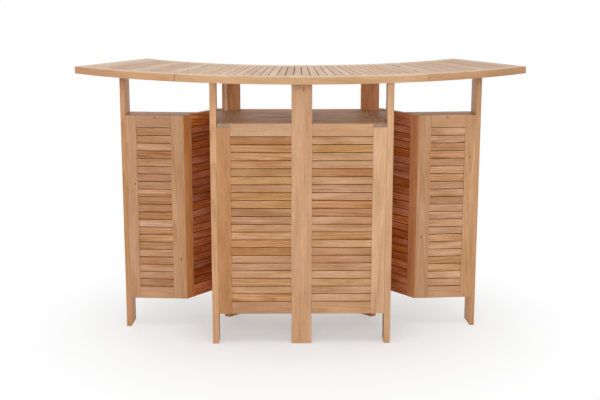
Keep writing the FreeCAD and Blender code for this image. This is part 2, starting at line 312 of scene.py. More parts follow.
def late_wood(tree, board, own, lean_side, lean_face):
    """Dark edges of the growth rings, round a heart that leans through the board and so makes arches."""
    along = parts_of(tree, board)["X"]
    tilt = vector(tree, Y=times(tree, along, lean_side), Z=times(tree, along, lean_face))
    heart = vector_maths(tree, "ADD", own, tilt)
    rings = add_node(tree, "ShaderNodeTexWave", {
        "Vector": stretched(tree, heart, RING_STRETCH), "Scale": RING_SCALE, "Distortion": RING_WOBBLE,
        "Detail": 3.0, "Detail Scale": 0.5, "Detail Roughness": 0.6},
        wave_type="RINGS", rings_direction="X", wave_profile="SAW").outputs["Fac"]
    return soft_step(tree, rings, *LATE_WOOD_STEP)


def knot_shade(tree, board, own):
    """Darkens small oval knots, which lie here and there along the grain, and a board's own knot."""
    chance = add_node(tree, "ShaderNodeTexVoronoi", {
        "Vector": stretched(tree, own, KNOT_SCALE), "Scale": 1.0}).outputs["Distance"]
    knot = attribute(tree, BOARD_KNOT, "Vector")
    radius = maths(tree, "MAXIMUM", parts_of(tree, knot)["Z"], NO_KNOT)
    apart = stretched(tree, vector_maths(tree, "SUBTRACT", board, knot), KNOT_SHAPE)
    reach = maths(tree, "DIVIDE", length_of(tree, apart), radius)
    return times(tree, soft_step(tree, chance, *SMALL_KNOT_STEP), soft_step(tree, reach, *OWN_KNOT_STEP))


def place_in_log(tree, board, shade, second, third):
    """Where in the log a board was cut, so that each board has its own figure."""
    jump = vector(tree, X=times(tree, shade, LOG_LENGTH),
                  Y=spread(tree, second, *HEART_ASIDE), Z=spread(tree, third, *HEART_DEPTH))
    return vector_maths(tree, "ADD", board, jump)


def wood_figure(tree, board, own, second, third):
    """The figure about its middle tone, and the streaks and pores, which also shape the surface."""
    late = late_wood(tree, board, own, spread(tree, third, *LEAN_ASIDE),
                     spread(tree, second, *LEAN_THROUGH))
    cloud = noise(tree, own, CLOUD_SCALE, 3.0)
    streak = noise(tree, own, STREAK_SCALE, 4.0)
    pores = soft_step(tree, noise(tree, own, PORE_SCALE, 1.0), *PORE_STEP)
    figure = weighted_sum(tree, [(late, -0.5), (cloud, 2.2), (streak, 1.3), (pores, -0.5)])
    return plus(tree, figure, 0.2), streak, pores


def board_colour(tree, shade, tint):
    """A board's own colour between the deepest and the palest wood."""
    ramp = add_node(tree, "ShaderNodeValToRGB", {"Fac": shade})
    swatches = (colours().wood_deep, colours().wood_brown, colours().wood_tan, colours().wood_pale)
    stops = ramp.color_ramp.elements
    stops[1].position = 1.0
    stops.new(BROWN_AT)
    stops.new(TAN_AT)
    for stop, swatch in zip(stops, swatches):
        stop.color = tuple(min(1.0, a * b) for a, b in zip(swatch, tint)) + (1.0,)
    return ramp.outputs["Color"]


def wood_material(name, tint=(1.0, 1.0, 1.0), greyness=0.0, figure_depth=0.28, gloss=0.4, shine=0.4):
    """Oiled hardwood whose figure runs along each board, with its own colour on every board."""
    material, tree = shader_tree(name)
    board = attribute(tree, BOARD_POSITION, "Vector")
    shade = attribute(tree, BOARD_SHADE)
    end_grain = attribute(tree, BOARD_END)
    painted_gap = attribute(tree, PAINTED_GAP_SHADE)
    second, third = (maths(tree, "FRACT", times(tree, shade, draw)) for draw in OWN_DRAWS)
    own = place_in_log(tree, board, shade, second, third)
    figure, streak, pores = wood_figure(tree, board, own, second, third)
    strength = plus(tree, times(tree, figure, figure_depth), 1.0)
    strength = times(tree, strength, knot_shade(tree, board, own))
    strength = times(tree, strength, spread(tree, end_grain, 1.0, END_STRENGTH))
    # Painted shade on the panels' gap faces, and painted light on the top's, where the value is below zero
    strength = times(tree, strength, minus(tree, 1.0, times(tree, painted_gap, PAINTED_GAP_DEPTH)))
    speckle = times(tree, noise(tree, board, SPECKLE_SCALE, 2.0), end_grain)
    strength = plus(tree, strength, speckle)
    warmth = times(tree, figure, figure_depth * FIGURE_GREYNESS)
    warmth = minus(tree, spread(tree, second, *WARMTHS), warmth)
    warmth = minus(tree, warmth, spread(tree, end_grain, greyness, greyness + END_GREYNESS))
    # Painted shade in the gaps is also warmer
    warmth = plus(tree, warmth, spread(tree, painted_gap, 0.0, PAINTED_GAP_WARMTH))
    varied = add_node(tree, "ShaderNodeHueSaturation", {
        "Hue": spread(tree, third, *HUES), "Saturation": warmth, "Value": strength,
        "Color": board_colour(tree, shade, tint)}).outputs["Color"]
    rough = spread(tree, plus(tree, streak, 0.5), gloss + DULL_STREAK, gloss + GLOSSY_STREAK)
    rough = maths(tree, "MAXIMUM", rough, painted_gap)
    bump = add_node(tree, "ShaderNodeBump", {
        "Strength": RELIEF_STRENGTH, "Distance": RELIEF,
        "Height": minus(tree, streak, times(tree, pores, PORE_DEPTH))}).outputs[0]
    shader = add_node(tree, "ShaderNodeBsdfPrincipled", {
        "Base Color": varied, "Roughness": rough, "Normal": bump, "Specular IOR Level": shine})
    close_shader(tree, shader)
    return material


def brass_material(name):
    """Satin brass with a little tarnish."""
    material, tree = shader_tree(name)
    place = add_node(tree, "ShaderNodeTexCoord").outputs["Object"]
    cloud = add_node(tree, "ShaderNodeTexNoise", {
        "Vector": place, "Scale": 90.0, "Detail": 4.0}).outputs["Fac"]
    ramp = add_node(tree, "ShaderNodeValToRGB", {"Fac": cloud})
    for stop, position, share in zip(ramp.color_ramp.elements, BRASS_PLACES, BRASS_SHARES):
        stop.position = position
        stop.color = tuple(part * share for part in colours().brass) + (1.0,)
    shader = add_node(tree, "ShaderNodeBsdfPrincipled", {
        "Base Color": ramp.outputs["Color"], "Roughness": spread(tree, cloud, *BRASS_ROUGHNESS),
        "Metallic": 1.0})
    close_shader(tree, shader)
    return material


def finish_called(name):
    return bpy.data.materials[name]


def wood_for(node):
    """The finish of a node: the wood that it is cut from, with painted shade on the inner wing panels and
    a painted pale sheen on the top.
    """
    # The inner wing panels and their stiles are deeper and redder with painted shade, for the cabinet's
    # shade on them
    if node.startswith("wing_inner"):
        return "oiled_inner_frame_painted_shade" if "stiles" in node else "oiled_inner_panel_painted_shade"
    if node.startswith("rear_post"):
        return "oiled_rear_post"
    if "shelf" in node:
        return "oiled_shelf"
    # The top carries a painted pale grey sheen, for the white surroundings that it reflects
    if node.startswith(("top", "leaf")) and "front_rim" not in node:
        return "oiled_top_painted_sheen"
    if node.startswith("wing_outer_slats"):
        return "oiled_outer_slats"
    return "oiled_slats" if "slats" in node else "oiled_boards"


def other_side(node):
    """Boards with a second finish, mostly painted light or shade, on one side: its finish, the way that it
    faces and how closely.
    """
    # A painted highlight, pale and grey, on the front-facing arris of the left rear post
    if node == "rear_post_left":
        return "oiled_arris_painted_highlight", FORWARD, 0.97
    # Painted light on a leg's inner side, which faces the cabinet
    if node.startswith("wing_leg"):
        return "oiled_leg_side_painted_light", RIGHTWARD if node.endswith("left") else LEFTWARD, 0.6
    # Plain wood on the backs of the inner wing panels, whose other faces carry painted shade
    if node.startswith("wing_inner"):
        return "oiled_slats" if "slats" in node else "oiled_boards", BACKWARD, 0.25
    # The same painted sheen on a front rim's upper face
    if "front_rim" in node:
        return "oiled_top_painted_sheen", UPWARD, 0.9
    return None


# Shades of a node's boards, lowest board first and then from left to right, from deepest 0 to palest 1
BOARD_SHADES = {
    "front_centre_post": (0.834,), "front_post_left": (0.80,), "front_post_right": (0.86,),
    "front_panel_stile_left": (0.402,), "front_panel_stile_right": (0.965,),
    "rear_post_left": (0.71,), "rear_post_right": (0.649,),
    "front_panel_rails_left": (0.42, 0.74), "front_panel_rails_right": (0.6, 0.78),
    "wing_outer_stiles_left": (0.55, 0.6), "wing_outer_stiles_right": (0.6, 0.7),
    "wing_outer_rails_left": (0.6, 0.5), "wing_outer_rails_right": (0.6, 0.8),
    "wing_leg_left": (0.615,), "wing_leg_right": (0.62,),
    "top_centre_front_rim": (0.86,), "leaf_front_rim_left": (0.80,), "leaf_front_rim_right": (0.6,),
    "wing_inner_stiles_left": (0.72, 0.72), "wing_inner_stiles_right": (0.69, 0.68),
    "upper_shelf_boards": (0.42, 0.66, 0.62, 0.7, 0.66),
}
# The deepest and the palest slat of a node
SLAT_SHADES = {
    "wing_inner_slats_left": (0.1, 0.6), "wing_inner_slats_right": (0.4, 0.9),
    "wing_outer_slats_left": (0.22, 0.7), "wing_outer_slats_right": (0.34, 0.84),
    "leaf_slats_left": (0.15, 0.8), "top_centre_slats": (0.35, 0.8), "leaf_slats_right": (0.05, 0.65),
}
# The deepest and the palest of the other boards, and of the other slats, the screws and the plugs
OTHER_BOARD_SHADES = (0.4, 0.85)
OTHER_SHADES = (0.26, 0.76)
# A board's own knot, in the same order: places along and across from its middle, and radius, in metres
KNOTS = {
    "front_centre_post": ((0.496, 0.007, 0.0035),),
    "wing_outer_stiles_left": ((0.1, 0.012, 0.0025), (-0.212, 0.011, 0.0035)),
    "wing_outer_stiles_right": ((-0.12, -0.01, 0.003), (0.21, 0.0, 0.0025)),
    "front_post_right": ((0.12, 0.006, 0.003),),
}
PLAIN_BOARD = (0.0, 0.0, 0.0)


# Boards copied from the frame

# Boards are sorted by height and to the side in steps of this size, in metres
LEVEL_STEP = 0.02
# Points this close are one, in metres, and the angles of a flat face, an eased edge and smooth shading
MERGE_DISTANCE = 1e-5
FLAT_ANGLE = math.radians(0.6)
SHARP_ANGLE = math.radians(32)
BOARD_SMOOTHING = math.radians(28)
SLAT_SMOOTHING = math.radians(40)
# Steps and fullness of a board's eased edge, and points of a slat's rounded one
EASED_STEPS = 2
EASED_FULLNESS = 0.6
ROUNDED_POINTS = 3
# How squarely a face looks along the grain to be an end, or one way to be found
END_FACING = 0.7
FACE_FACING = 0.6
# The slats beside each section's end rails, the widest opening there and what is left of it, in metres
RAIL_SLATS = {
    "top_centre_end_rails": "top_centre_slats", "leaf_end_rails_left": "leaf_slats_left",
    "leaf_end_rails_right": "leaf_slats_right",
}
RAIL_OPENING = 0.02
RAIL_REST = 0.0005


def mesh_points(mesh):
    points = np.empty(len(mesh.vertices) * 3)
    mesh.vertices.foreach_get("co", points)
    return points.reshape(-1, 3)


def node_points(node):
    return mesh_points(frame["nodes"][node].data)


def write_vectors(mesh, name, vectors):
    mesh.attributes.new(name, "FLOAT_VECTOR", "POINT").data.foreach_set("vector", np.ravel(vectors))


def write_values(mesh, name, domain, values):
    mesh.attributes.new(name, "FLOAT", domain).data.foreach_set("value", values)


def smooth_below(mesh, angle):
    """Shade a mesh smoothly across edges that turn by less than an angle."""
    mesh.polygons.foreach_set("use_smooth", [True] * len(mesh.polygons))
    mesh.set_sharp_from_angle(angle=angle)


def islands(mesh):
    """The number of the separate board that each point of a mesh belongs to."""
    parent = list(range(len(mesh.vertices)))

    def root(i):
        while parent[i] != i:
            parent[i] = parent[parent[i]]
            i = parent[i]
        return i

    for edge in mesh.edges:
        a, b = (root(i) for i in edge.vertices)
        parent[max(a, b)] = min(a, b)
    roots = [root(i) for i in range(len(parent))]
    order = {r: n for n, r in enumerate(sorted(set(roots)))}
    return np.array([order[r] for r in roots])


def board_axes(points):
    """A straight board's own directions, longest first."""
    centred = points - points.mean(axis=0)
    values, vectors = np.linalg.eigh(centred.T @ centred)
    axes = vectors[:, np.argsort(-values)].T
    return np.array([a if a[np.argmax(np.abs(a))] > 0 else -a for a in axes])


def straight_grain(points):
    """Positions along, across and through a straight board."""
    return (points - points.mean(axis=0)) @ board_axes(points).T


def curved_grain(points):
    """Positions along the arc, across it and through a curved board of the top."""
    x = points[:, 0]
    y = ARC_CENTRE_Y - points[:, 1]
    radius = np.hypot(x, y)
    mean = radius.mean()
    return np.stack([np.arctan2(x, y) * mean, radius - mean, points[:, 2]], axis=1)


def level_then_side(middle):
    """Sorts boards by height, from left to right at one height and then from front to back."""
    return round(middle[2] / LEVEL_STEP), round(middle[0] / LEVEL_STEP), middle[1]


def write_grain(mesh, node):
    """Give every board of a mesh its grain positions, its own shade and its own knot."""
    points = mesh_points(mesh)
    board = islands(mesh)
    place = np.zeros_like(points)
    run = np.zeros_like(points)
    knot = np.zeros_like(points)
    shade = np.zeros(len(points))
    chance = random.Random(node)
    shades = BOARD_SHADES.get(node, ())
    knots = KNOTS.get(node, ())
    grain = curved_grain if any(word in node for word in CURVED_BOARDS) else straight_grain
    boards = [board == number for number in range(board.max() + 1)]
    boards.sort(key=lambda own: level_then_side(points[own].mean(axis=0)))
    for number, chosen in enumerate(boards):
        place[chosen] = grain(points[chosen])
        shade[chosen] = shades[number] if number < len(shades) else chance.uniform(*OTHER_BOARD_SHADES)
        knot[chosen] = knots[number] if number < len(knots) else PLAIN_BOARD
        if grain is straight_grain:
            run[chosen] = board_axes(points[chosen])[0]
    ends = [abs(face.normal.dot(run[face.vertices[0]])) > END_FACING for face in mesh.polygons]
    write_vectors(mesh, BOARD_POSITION, place)
    write_vectors(mesh, BOARD_KNOT, knot)
    write_values(mesh, BOARD_SHADE, "POINT", shade)
    write_values(mesh, BOARD_END, "FACE", [float(end) for end in ends])


def new_piece(name, mesh):
    piece = bpy.data.objects.new(name, mesh)
    bpy.context.scene.collection.objects.link(piece)
    return piece


def finish_piece(piece, node):
    """Give a piece its woods and let it stand for its node."""
    piece.data.materials.clear()
    piece.data.materials.append(finish_called(wood_for(node)))
    # A second finish, mostly painted light or shade, on the faces that look one way
    if other_side(node):
        other, facing, limit = other_side(node)
        piece.data.materials.append(finish_called(other))
        for face in piece.data.polygons:
            if face.normal.dot(facing) > limit:
                face.material_index = 1
    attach(piece, NODE_BODY[node])
    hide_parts(node)


def merged_copy(node):
    """A copy of a node's loose triangles, joined into its flat faces."""
    shape = bmesh.new()
    shape.from_mesh(frame["nodes"][node].data)
    bmesh.ops.remove_doubles(shape, verts=shape.verts, dist=MERGE_DISTANCE)
    bmesh.ops.dissolve_limit(shape, angle_limit=FLAT_ANGLE, verts=shape.verts, edges=shape.edges)
    bmesh.ops.recalc_face_normals(shape, faces=shape.faces)
    return shape


def flat_faces(node, facing, least_area):
    """The middle and the normal of each flat face of a node that faces one way."""
    shape = merged_copy(node)
    found = [(face.calc_center_bounds(), face.normal.copy()) for face in shape.faces
             if face.calc_area() > least_area and face.normal.dot(facing) > FACE_FACING]
    shape.free()
    return found


def fan_span(node):
    """The inner and outer radius and the first and last angle of a fan of slats."""
    points = node_points(node)
    away = ARC_CENTRE_Y - points[:, 1]
    radius = np.hypot(points[:, 0], away)
    angle = np.arctan2(points[:, 0], away)
    half_gap = sizes().top_slat_gap / 2 / radius.min()
    return radius.min(), radius.max(), angle.min() - half_gap, angle.max() + half_gap


def widen_rails(shape, slats):
    """Widen the upper side of the end rails towards the front rim, up to the first and the last slat."""
    inner, outer, start, end = fan_span(slats)
    top = max(vert.co.z for vert in shape.verts)
    for vert in shape.verts:
        away = ARC_CENTRE_Y - vert.co.y
        radius = math.hypot(vert.co.x, away)
        angle = math.atan2(vert.co.x, away)
        if radius < (inner + outer) / 2 or vert.co.z < top - MERGE_DISTANCE:
            continue
        for edge, side in ((start, -1.0), (end, 1.0)):
            if 0.0 < side * (angle - edge) * radius < RAIL_OPENING:
                moved = edge + side * RAIL_REST / radius
                vert.co.x = radius * math.sin(moved)
                vert.co.y = ARC_CENTRE_Y - radius * math.cos(moved)


def eased_board(node, edge):
    """A copy of a node's boards with merged faces and eased edges."""
    shape = merged_copy(node)
    if node in RAIL_SLATS:
        widen_rails(shape, RAIL_SLATS[node])
    sharp = [e for e in shape.edges if e.is_manifold and e.calc_face_angle(0.0) > SHARP_ANGLE]
    bmesh.ops.bevel(shape, geom=sharp, offset=edge, offset_type="OFFSET", segments=EASED_STEPS,
                    profile=EASED_FULLNESS, affect="EDGES", clamp_overlap=True)
    mesh = bpy.data.meshes.new(node)
    shape.to_mesh(mesh)
    shape.free()
    smooth_below(mesh, BOARD_SMOOTHING)
    return mesh


# Slats, screws and plugs made by node trees

# Inputs that every tree has after its own, and the kinds of those that aren't plain numbers
SHADE_INPUTS = ("Deepest", "Palest", "Seed", "Material")
INPUT_KINDS = {
    "Count": "NodeSocketInt", "Seed": "NodeSocketInt", "Points": "NodeSocketGeometry",
    "Material": "NodeSocketMaterial",
}
# First seeds of the random shades and turns
PANEL_SEED = 0
TOP_SEED = 20
SCREW_SEED = 40
PLUG_SEED = 60
# Faces between slats: how squarely they look at the next slat, and how dark their painted shade is or,
# below zero, how pale their painted light is
GAP_FACING = 0.8
PANEL_PAINTED_GAP_SHADE = 1.0
TOP_PAINTED_GAP_SHADE = -1.14
# Screw heads and plugs: their sides, and the top and the cross recess as shares of the radius
SCREW_SIDES = 20
SCREW_TOP = 0.72
RECESS_REACH = 1.15
RECESS_WIDTH = 0.26
PLUG_SIDES = 24
PLUG_TOP = 0.9
# Least areas of a hinge plate and of a rail's face, in square metres
LEAST_PLATE = 0.0008
LEAST_RAIL = 0.004
# Screws on a hinge plate: height and distance to the side from its middle, in metres
SCREW_PLACES = ((-0.021, -0.003), (0.0, 0.004), (0.021, -0.003))


def stored(tree, geometry, name, value, kind="FLOAT", domain="POINT"):
    return add_node(tree, "GeometryNodeStoreNamedAttribute", {
        "Geometry": geometry, "Name": name, "Value": value}, data_type=kind, domain=domain).outputs[0]


def named(tree, name, kind="FLOAT"):
    return add_node(tree, "GeometryNodeInputNamedAttribute", {"Name": name}, data_type=kind).outputs[0]


def own_position(tree, geometry):
    """Mark a slat or plug with its own grain positions before it is put in its place."""
    position = add_node(tree, "GeometryNodeInputPosition").outputs[0]
    return stored(tree, geometry, BOARD_POSITION, position, "FLOAT_VECTOR")


def chance_of(tree, port):
    """A random value between 0 and 1 for each instance."""
    index = add_node(tree, "GeometryNodeInputIndex").outputs[0]
    return add_node(tree, "FunctionNodeRandomValue", {"ID": index, "Seed": port["Seed"]},
                    data_type="FLOAT").outputs[1]


def slat_profile(tree, width, height, edge):
    """A slat's rounded section, as a closed curve."""
    outline = add_node(tree, "GeometryNodeCurvePrimitiveQuadrilateral", {
        "Width": width, "Height": height}).outputs[0]
    return add_node(tree, "GeometryNodeFilletCurve", {
        "Curve": outline, "Radius": edge, "Count": ROUNDED_POINTS}, mode="POLY").outputs[0]


def slat_body(tree, length, width, height, edge):
    """One slat along X, marked with its own grain positions."""
    half = times(tree, length, 0.5)
    start = vector(tree, X=times(tree, half, -1.0))
    path = add_node(tree, "GeometryNodeCurvePrimitiveLine", {
        "Start": start, "End": vector(tree, X=half)}).outputs[0]
    swept = add_node(tree, "GeometryNodeCurveToMesh", {
        "Curve": path, "Profile Curve": slat_profile(tree, width, height, edge),
        "Fill Caps": True}).outputs[0]
    return own_position(tree, swept)


def painted_gap_faces(tree, slat, axis, depth):
    """Paint shade on the narrow faces that look at the next slat where the depth is positive, and light
    where it is negative.
    """
    normal = add_node(tree, "GeometryNodeInputNormal").outputs[0]
    facing = maths(tree, "ABSOLUTE", parts_of(tree, normal)[axis])
    inside = maths(tree, "GREATER_THAN", facing, GAP_FACING)
    return stored(tree, slat, PAINTED_GAP_SHADE, times(tree, inside, depth), domain="FACE")


def shaded_instances(tree, port, **seats):
    """Instances on points, each with a random shade between the deepest and the palest given."""
    placed = add_node(tree, "GeometryNodeInstanceOnPoints", seats).outputs[0]
    shade = spread(tree, chance_of(tree, port), port["Deepest"], port["Palest"])
    return stored(tree, placed, BOARD_SHADE, shade, domain="INSTANCE")


def realized(tree, instances):
    return add_node(tree, "GeometryNodeRealizeInstances", {"Geometry": instances}).outputs[0]


def new_tree(name, *labels):
    """A geometry tree with named inputs for its sizes, its shades and its material."""
    tree = bpy.data.node_groups.new(name, "GeometryNodeTree")
    for label in labels + SHADE_INPUTS:
        kind = INPUT_KINDS.get(label, "NodeSocketFloat")
        tree.interface.new_socket(name=label, in_out="INPUT", socket_type=kind)
    tree.interface.new_socket(name="Geometry", in_out="OUTPUT", socket_type="NodeSocketGeometry")
    return tree, add_node(tree, "NodeGroupInput").outputs


def close_tree(tree, geometry, material):
    finished = add_node(tree, "GeometryNodeSetMaterial", {"Geometry": geometry, "Material": material})
    output = add_node(tree, "NodeGroupOutput")
    tree.links.new(finished.outputs[0], output.inputs[0])


def panel_slat_tree():
    """Level slats stacked in Z, each along X."""
    tree, port = new_tree("Panel Slats", "Count", "Pitch", "Length", "Thickness", "Height", "Edge")
    slat = slat_body(tree, port["Length"], port["Thickness"], port["Height"], port["Edge"])
    # Painted shade on the panels' gap faces
    slat = painted_gap_faces(tree, slat, "Z", PANEL_PAINTED_GAP_SHADE)
    line = add_node(tree, "GeometryNodeMeshLine", {
        "Count": port["Count"], "Offset": vector(tree, Z=port["Pitch"])}).outputs[0]
    placed = shaded_instances(tree, port, Points=line, Instance=slat)
    close_tree(tree, realized(tree, placed), port["Material"])
    return tree


def top_slat_tree():
    """Slats that fan about the arc's centre, tapered so that the gaps stay even."""
    tree, port = new_tree(
        "Top Slats", "Count", "Start Angle", "Pitch Angle", "Inner Radius", "Outer Radius", "Gap", "Width",
        "Thickness", "Middle Height", "Centre Y", "Edge")
    length = minus(tree, port["Outer Radius"], port["Inner Radius"])
    slat = slat_body(tree, length, port["Width"], port["Thickness"], port["Edge"])
    # Painted light on the top's gap faces, which makes them paler
    slat = painted_gap_faces(tree, slat, "Y", TOP_PAINTED_GAP_SHADE)
    line = add_node(tree, "GeometryNodeMeshLine", {"Count": port["Count"], "Offset": UPWARD}).outputs[0]
    placed = shaded_instances(tree, port, Points=line, Instance=slat)
    index = add_node(tree, "GeometryNodeInputIndex").outputs[0]
    slats = realized(tree, stored(tree, placed, SLAT_NUMBER, index, domain="INSTANCE"))
    own = parts_of(tree, named(tree, BOARD_POSITION, "FLOAT_VECTOR"))
    middle = times(tree, plus(tree, port["Outer Radius"], port["Inner Radius"]), 0.5)
    radius = plus(tree, middle, own["X"])
    room = minus(tree, times(tree, radius, port["Pitch Angle"]), port["Gap"])
    across = times(tree, own["Y"], maths(tree, "DIVIDE", room, port["Width"]))
    place = times(tree, plus(tree, named(tree, SLAT_NUMBER), 0.5), port["Pitch Angle"])
    angle = plus(tree, plus(tree, port["Start Angle"], place), maths(tree, "DIVIDE", across, radius))
    ahead = times(tree, radius, maths(tree, "COSINE", angle))
    fan = vector(tree, X=times(tree, radius, maths(tree, "SINE", angle)),
                 Y=minus(tree, port["Centre Y"], ahead), Z=plus(tree, port["Middle Height"], own["Z"]))
    fanned = add_node(tree, "GeometryNodeSetPosition", {"Geometry": slats, "Position": fan}).outputs[0]
    close_tree(tree, fanned, port["Material"])
    return tree


def round_head(tree, port, sides, top_share):
    """A shallow round head along Z that narrows towards its top, and its depth."""
    top = times(tree, port["Radius"], top_share)
    depth = times(tree, port["Rise"], 2.0)
    head = add_node(tree, "GeometryNodeMeshCone", {
        "Vertices": sides, "Radius Top": top, "Radius Bottom": port["Radius"], "Depth": depth}).outputs[0]
    return head, depth


def screw_head(tree, port):
    """A round head with a cross recess."""
    dome, depth = round_head(tree, port, SCREW_SIDES, SCREW_TOP)
    reach = times(tree, port["Radius"], RECESS_REACH)
    width = times(tree, port["Radius"], RECESS_WIDTH)
    bars = add_node(tree, "GeometryNodeJoinGeometry")
    for along, across in ((reach, width), (width, reach)):
        size = vector(tree, X=along, Y=across, Z=port["Rise"])
        bar = add_node(tree, "GeometryNodeMeshCube", {"Size": size}).outputs[0]
        tree.links.new(bar, bars.inputs[0])
    cross = add_node(tree, "GeometryNodeTransform", {
        "Geometry": bars.outputs[0], "Translation": vector(tree, Z=depth)}).outputs[0]
    return add_node(tree, "GeometryNodeMeshBoolean", {
        "Mesh 1": dome, "Mesh 2": cross}, operation="DIFFERENCE").outputs[0]


def wood_plug(tree, port):
    """A round plug with an eased rim and its own grain positions."""
    return own_position(tree, round_head(tree, port, PLUG_SIDES, PLUG_TOP)[0])


def seated_tree(name, head):
    """Heads on given points, each turned to face out of its seat and half sunk into it."""
    tree, port = new_tree(name, "Points", "Radius", "Rise")
    facing = named(tree, SEAT_FACING, "FLOAT_VECTOR")
    upright = add_node(tree, "FunctionNodeAlignRotationToVector", {"Vector": facing}, axis="Z").outputs[0]
    spin = add_node(tree, "FunctionNodeAxisAngleToRotation", {
        "Axis": UPWARD, "Angle": times(tree, chance_of(tree, port), math.pi)}).outputs[0]
    turn = add_node(tree, "FunctionNodeRotateRotation", {"Rotation": upright, "Rotate By": spin},
                    rotation_space="LOCAL").outputs[0]
    lowered = vector(tree, Z=times(tree, port["Rise"], -1.0))
    sunk = add_node(tree, "GeometryNodeTransform", {
        "Geometry": head(tree, port), "Translation": lowered}).outputs[0]
    placed = shaded_instances(tree, port, Points=port["Points"], Instance=sunk, Rotation=turn)
    close_tree(tree, realized(tree, placed), port["Material"])
    return tree


def seat_points(name, seats):
    """A mesh of loose points, each with the way that its seat faces."""
    mesh = bpy.data.meshes.new(name)
    mesh.from_pydata([place for place, facing in seats], [], [])
    write_vectors(mesh, SEAT_FACING, [facing for place, facing in seats])
    return mesh


def shade_values(node, seed, material):
    """What a tree needs to shade the slats, screws or plugs of a node."""
    deepest, palest = SLAT_SHADES.get(node, OTHER_SHADES)
    return {"Deepest": deepest, "Palest": palest, "Seed": seed, "Material": material}


def grown(name, tree, values, place=None, points=None):
    """Run a tree on an empty mesh, or on given points, and keep the result as a plain mesh object."""
    holder = new_piece(name + "_tree", points or bpy.data.meshes.new(name + "_tree"))
    modifier = holder.modifiers.new(tree.name, "NODES")
    modifier.node_group = tree
    for item in tree.interface.items_tree:
        if item.in_out == "INPUT" and item.name in values:
            modifier[item.identifier] = values[item.name]
    holder.update_tag()
    graph = bpy.context.evaluated_depsgraph_get()
    mesh = bpy.data.meshes.new_from_object(holder.evaluated_get(graph), depsgraph=graph)
    bpy.data.objects.remove(holder)
    if place is not None:
        mesh.transform(place)
    mesh.name = name
    shape = bmesh.new()
    shape.from_mesh(mesh)
    bmesh.ops.recalc_face_normals(shape, faces=shape.faces)
    shape.to_mesh(mesh)
    shape.free()
    smooth_below(mesh, SLAT_SMOOTHING)
    return new_piece(name, mesh)


def panel_plan(node):
    """Where a panel's slats stand: the plan direction along them, their middle and their sizes."""
    points = node_points(node)
    plan = points[:, :2]
    centred = plan - plan.mean(axis=0)
    along = np.linalg.eigh(centred.T @ centred)[1][:, 1]
    if along[0] < 0:
        along = -along
    across = np.array([-along[1], along[0]])
    run = plan @ along
    depth = plan @ across
    middle = along * (run.min() + run.max()) / 2 + across * (depth.min() + depth.max()) / 2
    return along, middle, np.ptp(run), np.ptp(depth), points[:, 2].min(), points[:, 2].max()


class GARDENBAR_OT_finishes(bpy.types.Operator):
    """Make the woods, some with painted light or shade, and the brass"""

    bl_idname = "garden_bar.finishes"
    bl_label = "Finishes"

    def execute(self, context):
        wood_material("oiled_boards")
        wood_material("oiled_slats", tint=(0.94, 0.905, 0.82), figure_depth=0.5)
        wood_material("oiled_outer_slats", tint=(1.0, 0.98, 0.97), figure_depth=0.55)
        # Painted shade, deep and red, on the fronts of the inner wing panels and their stiles
        wood_material("oiled_inner_frame_painted_shade", tint=(1.05, 0.79, 0.53))
        wood_material("oiled_inner_panel_painted_shade", tint=(0.94, 0.53, 0.34), figure_depth=0.65, shine=0.1)
        wood_material("oiled_rear_post", tint=(1.22, 0.97, 0.73), figure_depth=0.45)
        # Painted highlight for the left rear post's front arris
        wood_material("oiled_arris_painted_highlight", tint=(1.5, 1.7, 1.9), greyness=0.2)
        # Painted light: paler wood for the legs' inner sides
        wood_material("oiled_leg_side_painted_light", tint=(1.3, 1.34, 1.3))
        wood_material("oiled_shelf", tint=(0.98, 0.98, 0.98), greyness=0.1, figure_depth=0.36, gloss=0.5,
                      shine=0.26)
        # Painted pale grey sheen on the top, for the reflection of the white surroundings
        wood_material("oiled_top_painted_sheen", tint=(0.92, 1.08, 1.24), greyness=0.15, figure_depth=0.2)
        wood_material("oiled_plug", tint=(0.62, 0.5, 0.42))
        brass_material("satin_brass")
        return {"FINISHED"}


class GARDENBAR_OT_frame_boards(bpy.types.Operator):
    """Ease the edges of the posts, rims, rails, stiles, bearers and shelf boards"""

    bl_idname = "garden_bar.frame_boards"
    bl_label = "Frame boards"

    def execute(self, context):
        for node in FRAME_BOARDS:
            mesh = eased_board(node, sizes().board_edge)
            write_grain(mesh, node)
            finish_piece(new_piece("wood_" + node, mesh), node)
        return {"FINISHED"}


class GARDENBAR_OT_panel_slats(bpy.types.Operator):
    """Fill the upright panels with level slats"""

    bl_idname = "garden_bar.panel_slats"
    bl_label = "Panel slats"

    def execute(self, context):
        tree = panel_slat_tree()
        count = sizes().panel_slat_count
        for seed, node in enumerate(PANEL_SLATS, PANEL_SEED):
            along, middle, length, thickness, low, high = panel_plan(node)
            pitch = (high - low) / count
            place = Matrix.Translation((middle[0], middle[1], low + pitch / 2))
            place = place @ Matrix.Rotation(math.atan2(along[1], along[0]), 4, "Z")
            piece = grown("wood_" + node, tree, {
                "Count": count, "Pitch": pitch, "Length": length, "Thickness": thickness,
                "Height": pitch - sizes().panel_slat_gap, "Edge": sizes().panel_slat_edge,
                **shade_values(node, seed, finish_called(wood_for(node)))}, place)
            finish_piece(piece, node)
        return {"FINISHED"}


